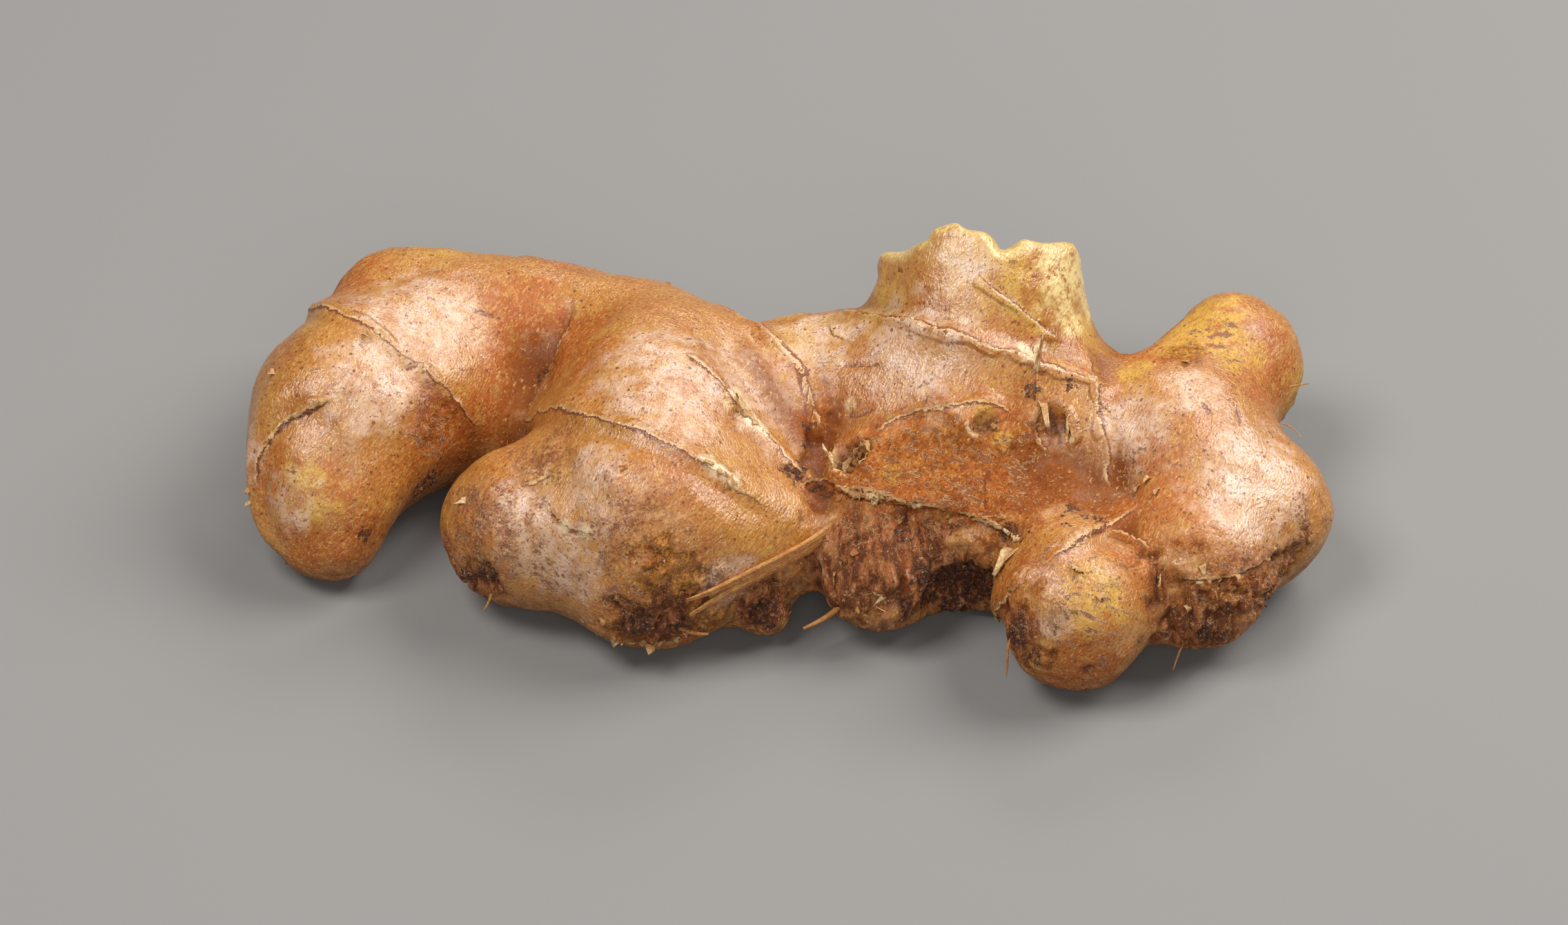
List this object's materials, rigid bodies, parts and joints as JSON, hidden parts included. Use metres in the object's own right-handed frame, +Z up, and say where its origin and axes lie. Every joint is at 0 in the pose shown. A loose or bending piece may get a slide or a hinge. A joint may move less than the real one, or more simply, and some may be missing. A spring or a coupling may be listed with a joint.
{
  "type": "ginger root",
  "caption": "Fresh ginger rhizome lying on its side: knobbly fingers and knobs grown from a thick middle, with ring scars, root scars and a torn stem stub.",
  "frame": {"origin": "centre of the bounding box, on the surface that the root lies on", "axes": "+X along the root's length, towards the two knobs at its right end; -Y towards its front, with the round bud; +Z up"},
  "size_m": [0.1247, 0.0621, 0.0353],
  "materials": {
    "ginger_skin": "thin satin skin, golden tan, with paler torn sheath edges"
  },
  "bodies": {
    "root": {"rhizome": "ginger_skin"}
  },
  "joints": []
}
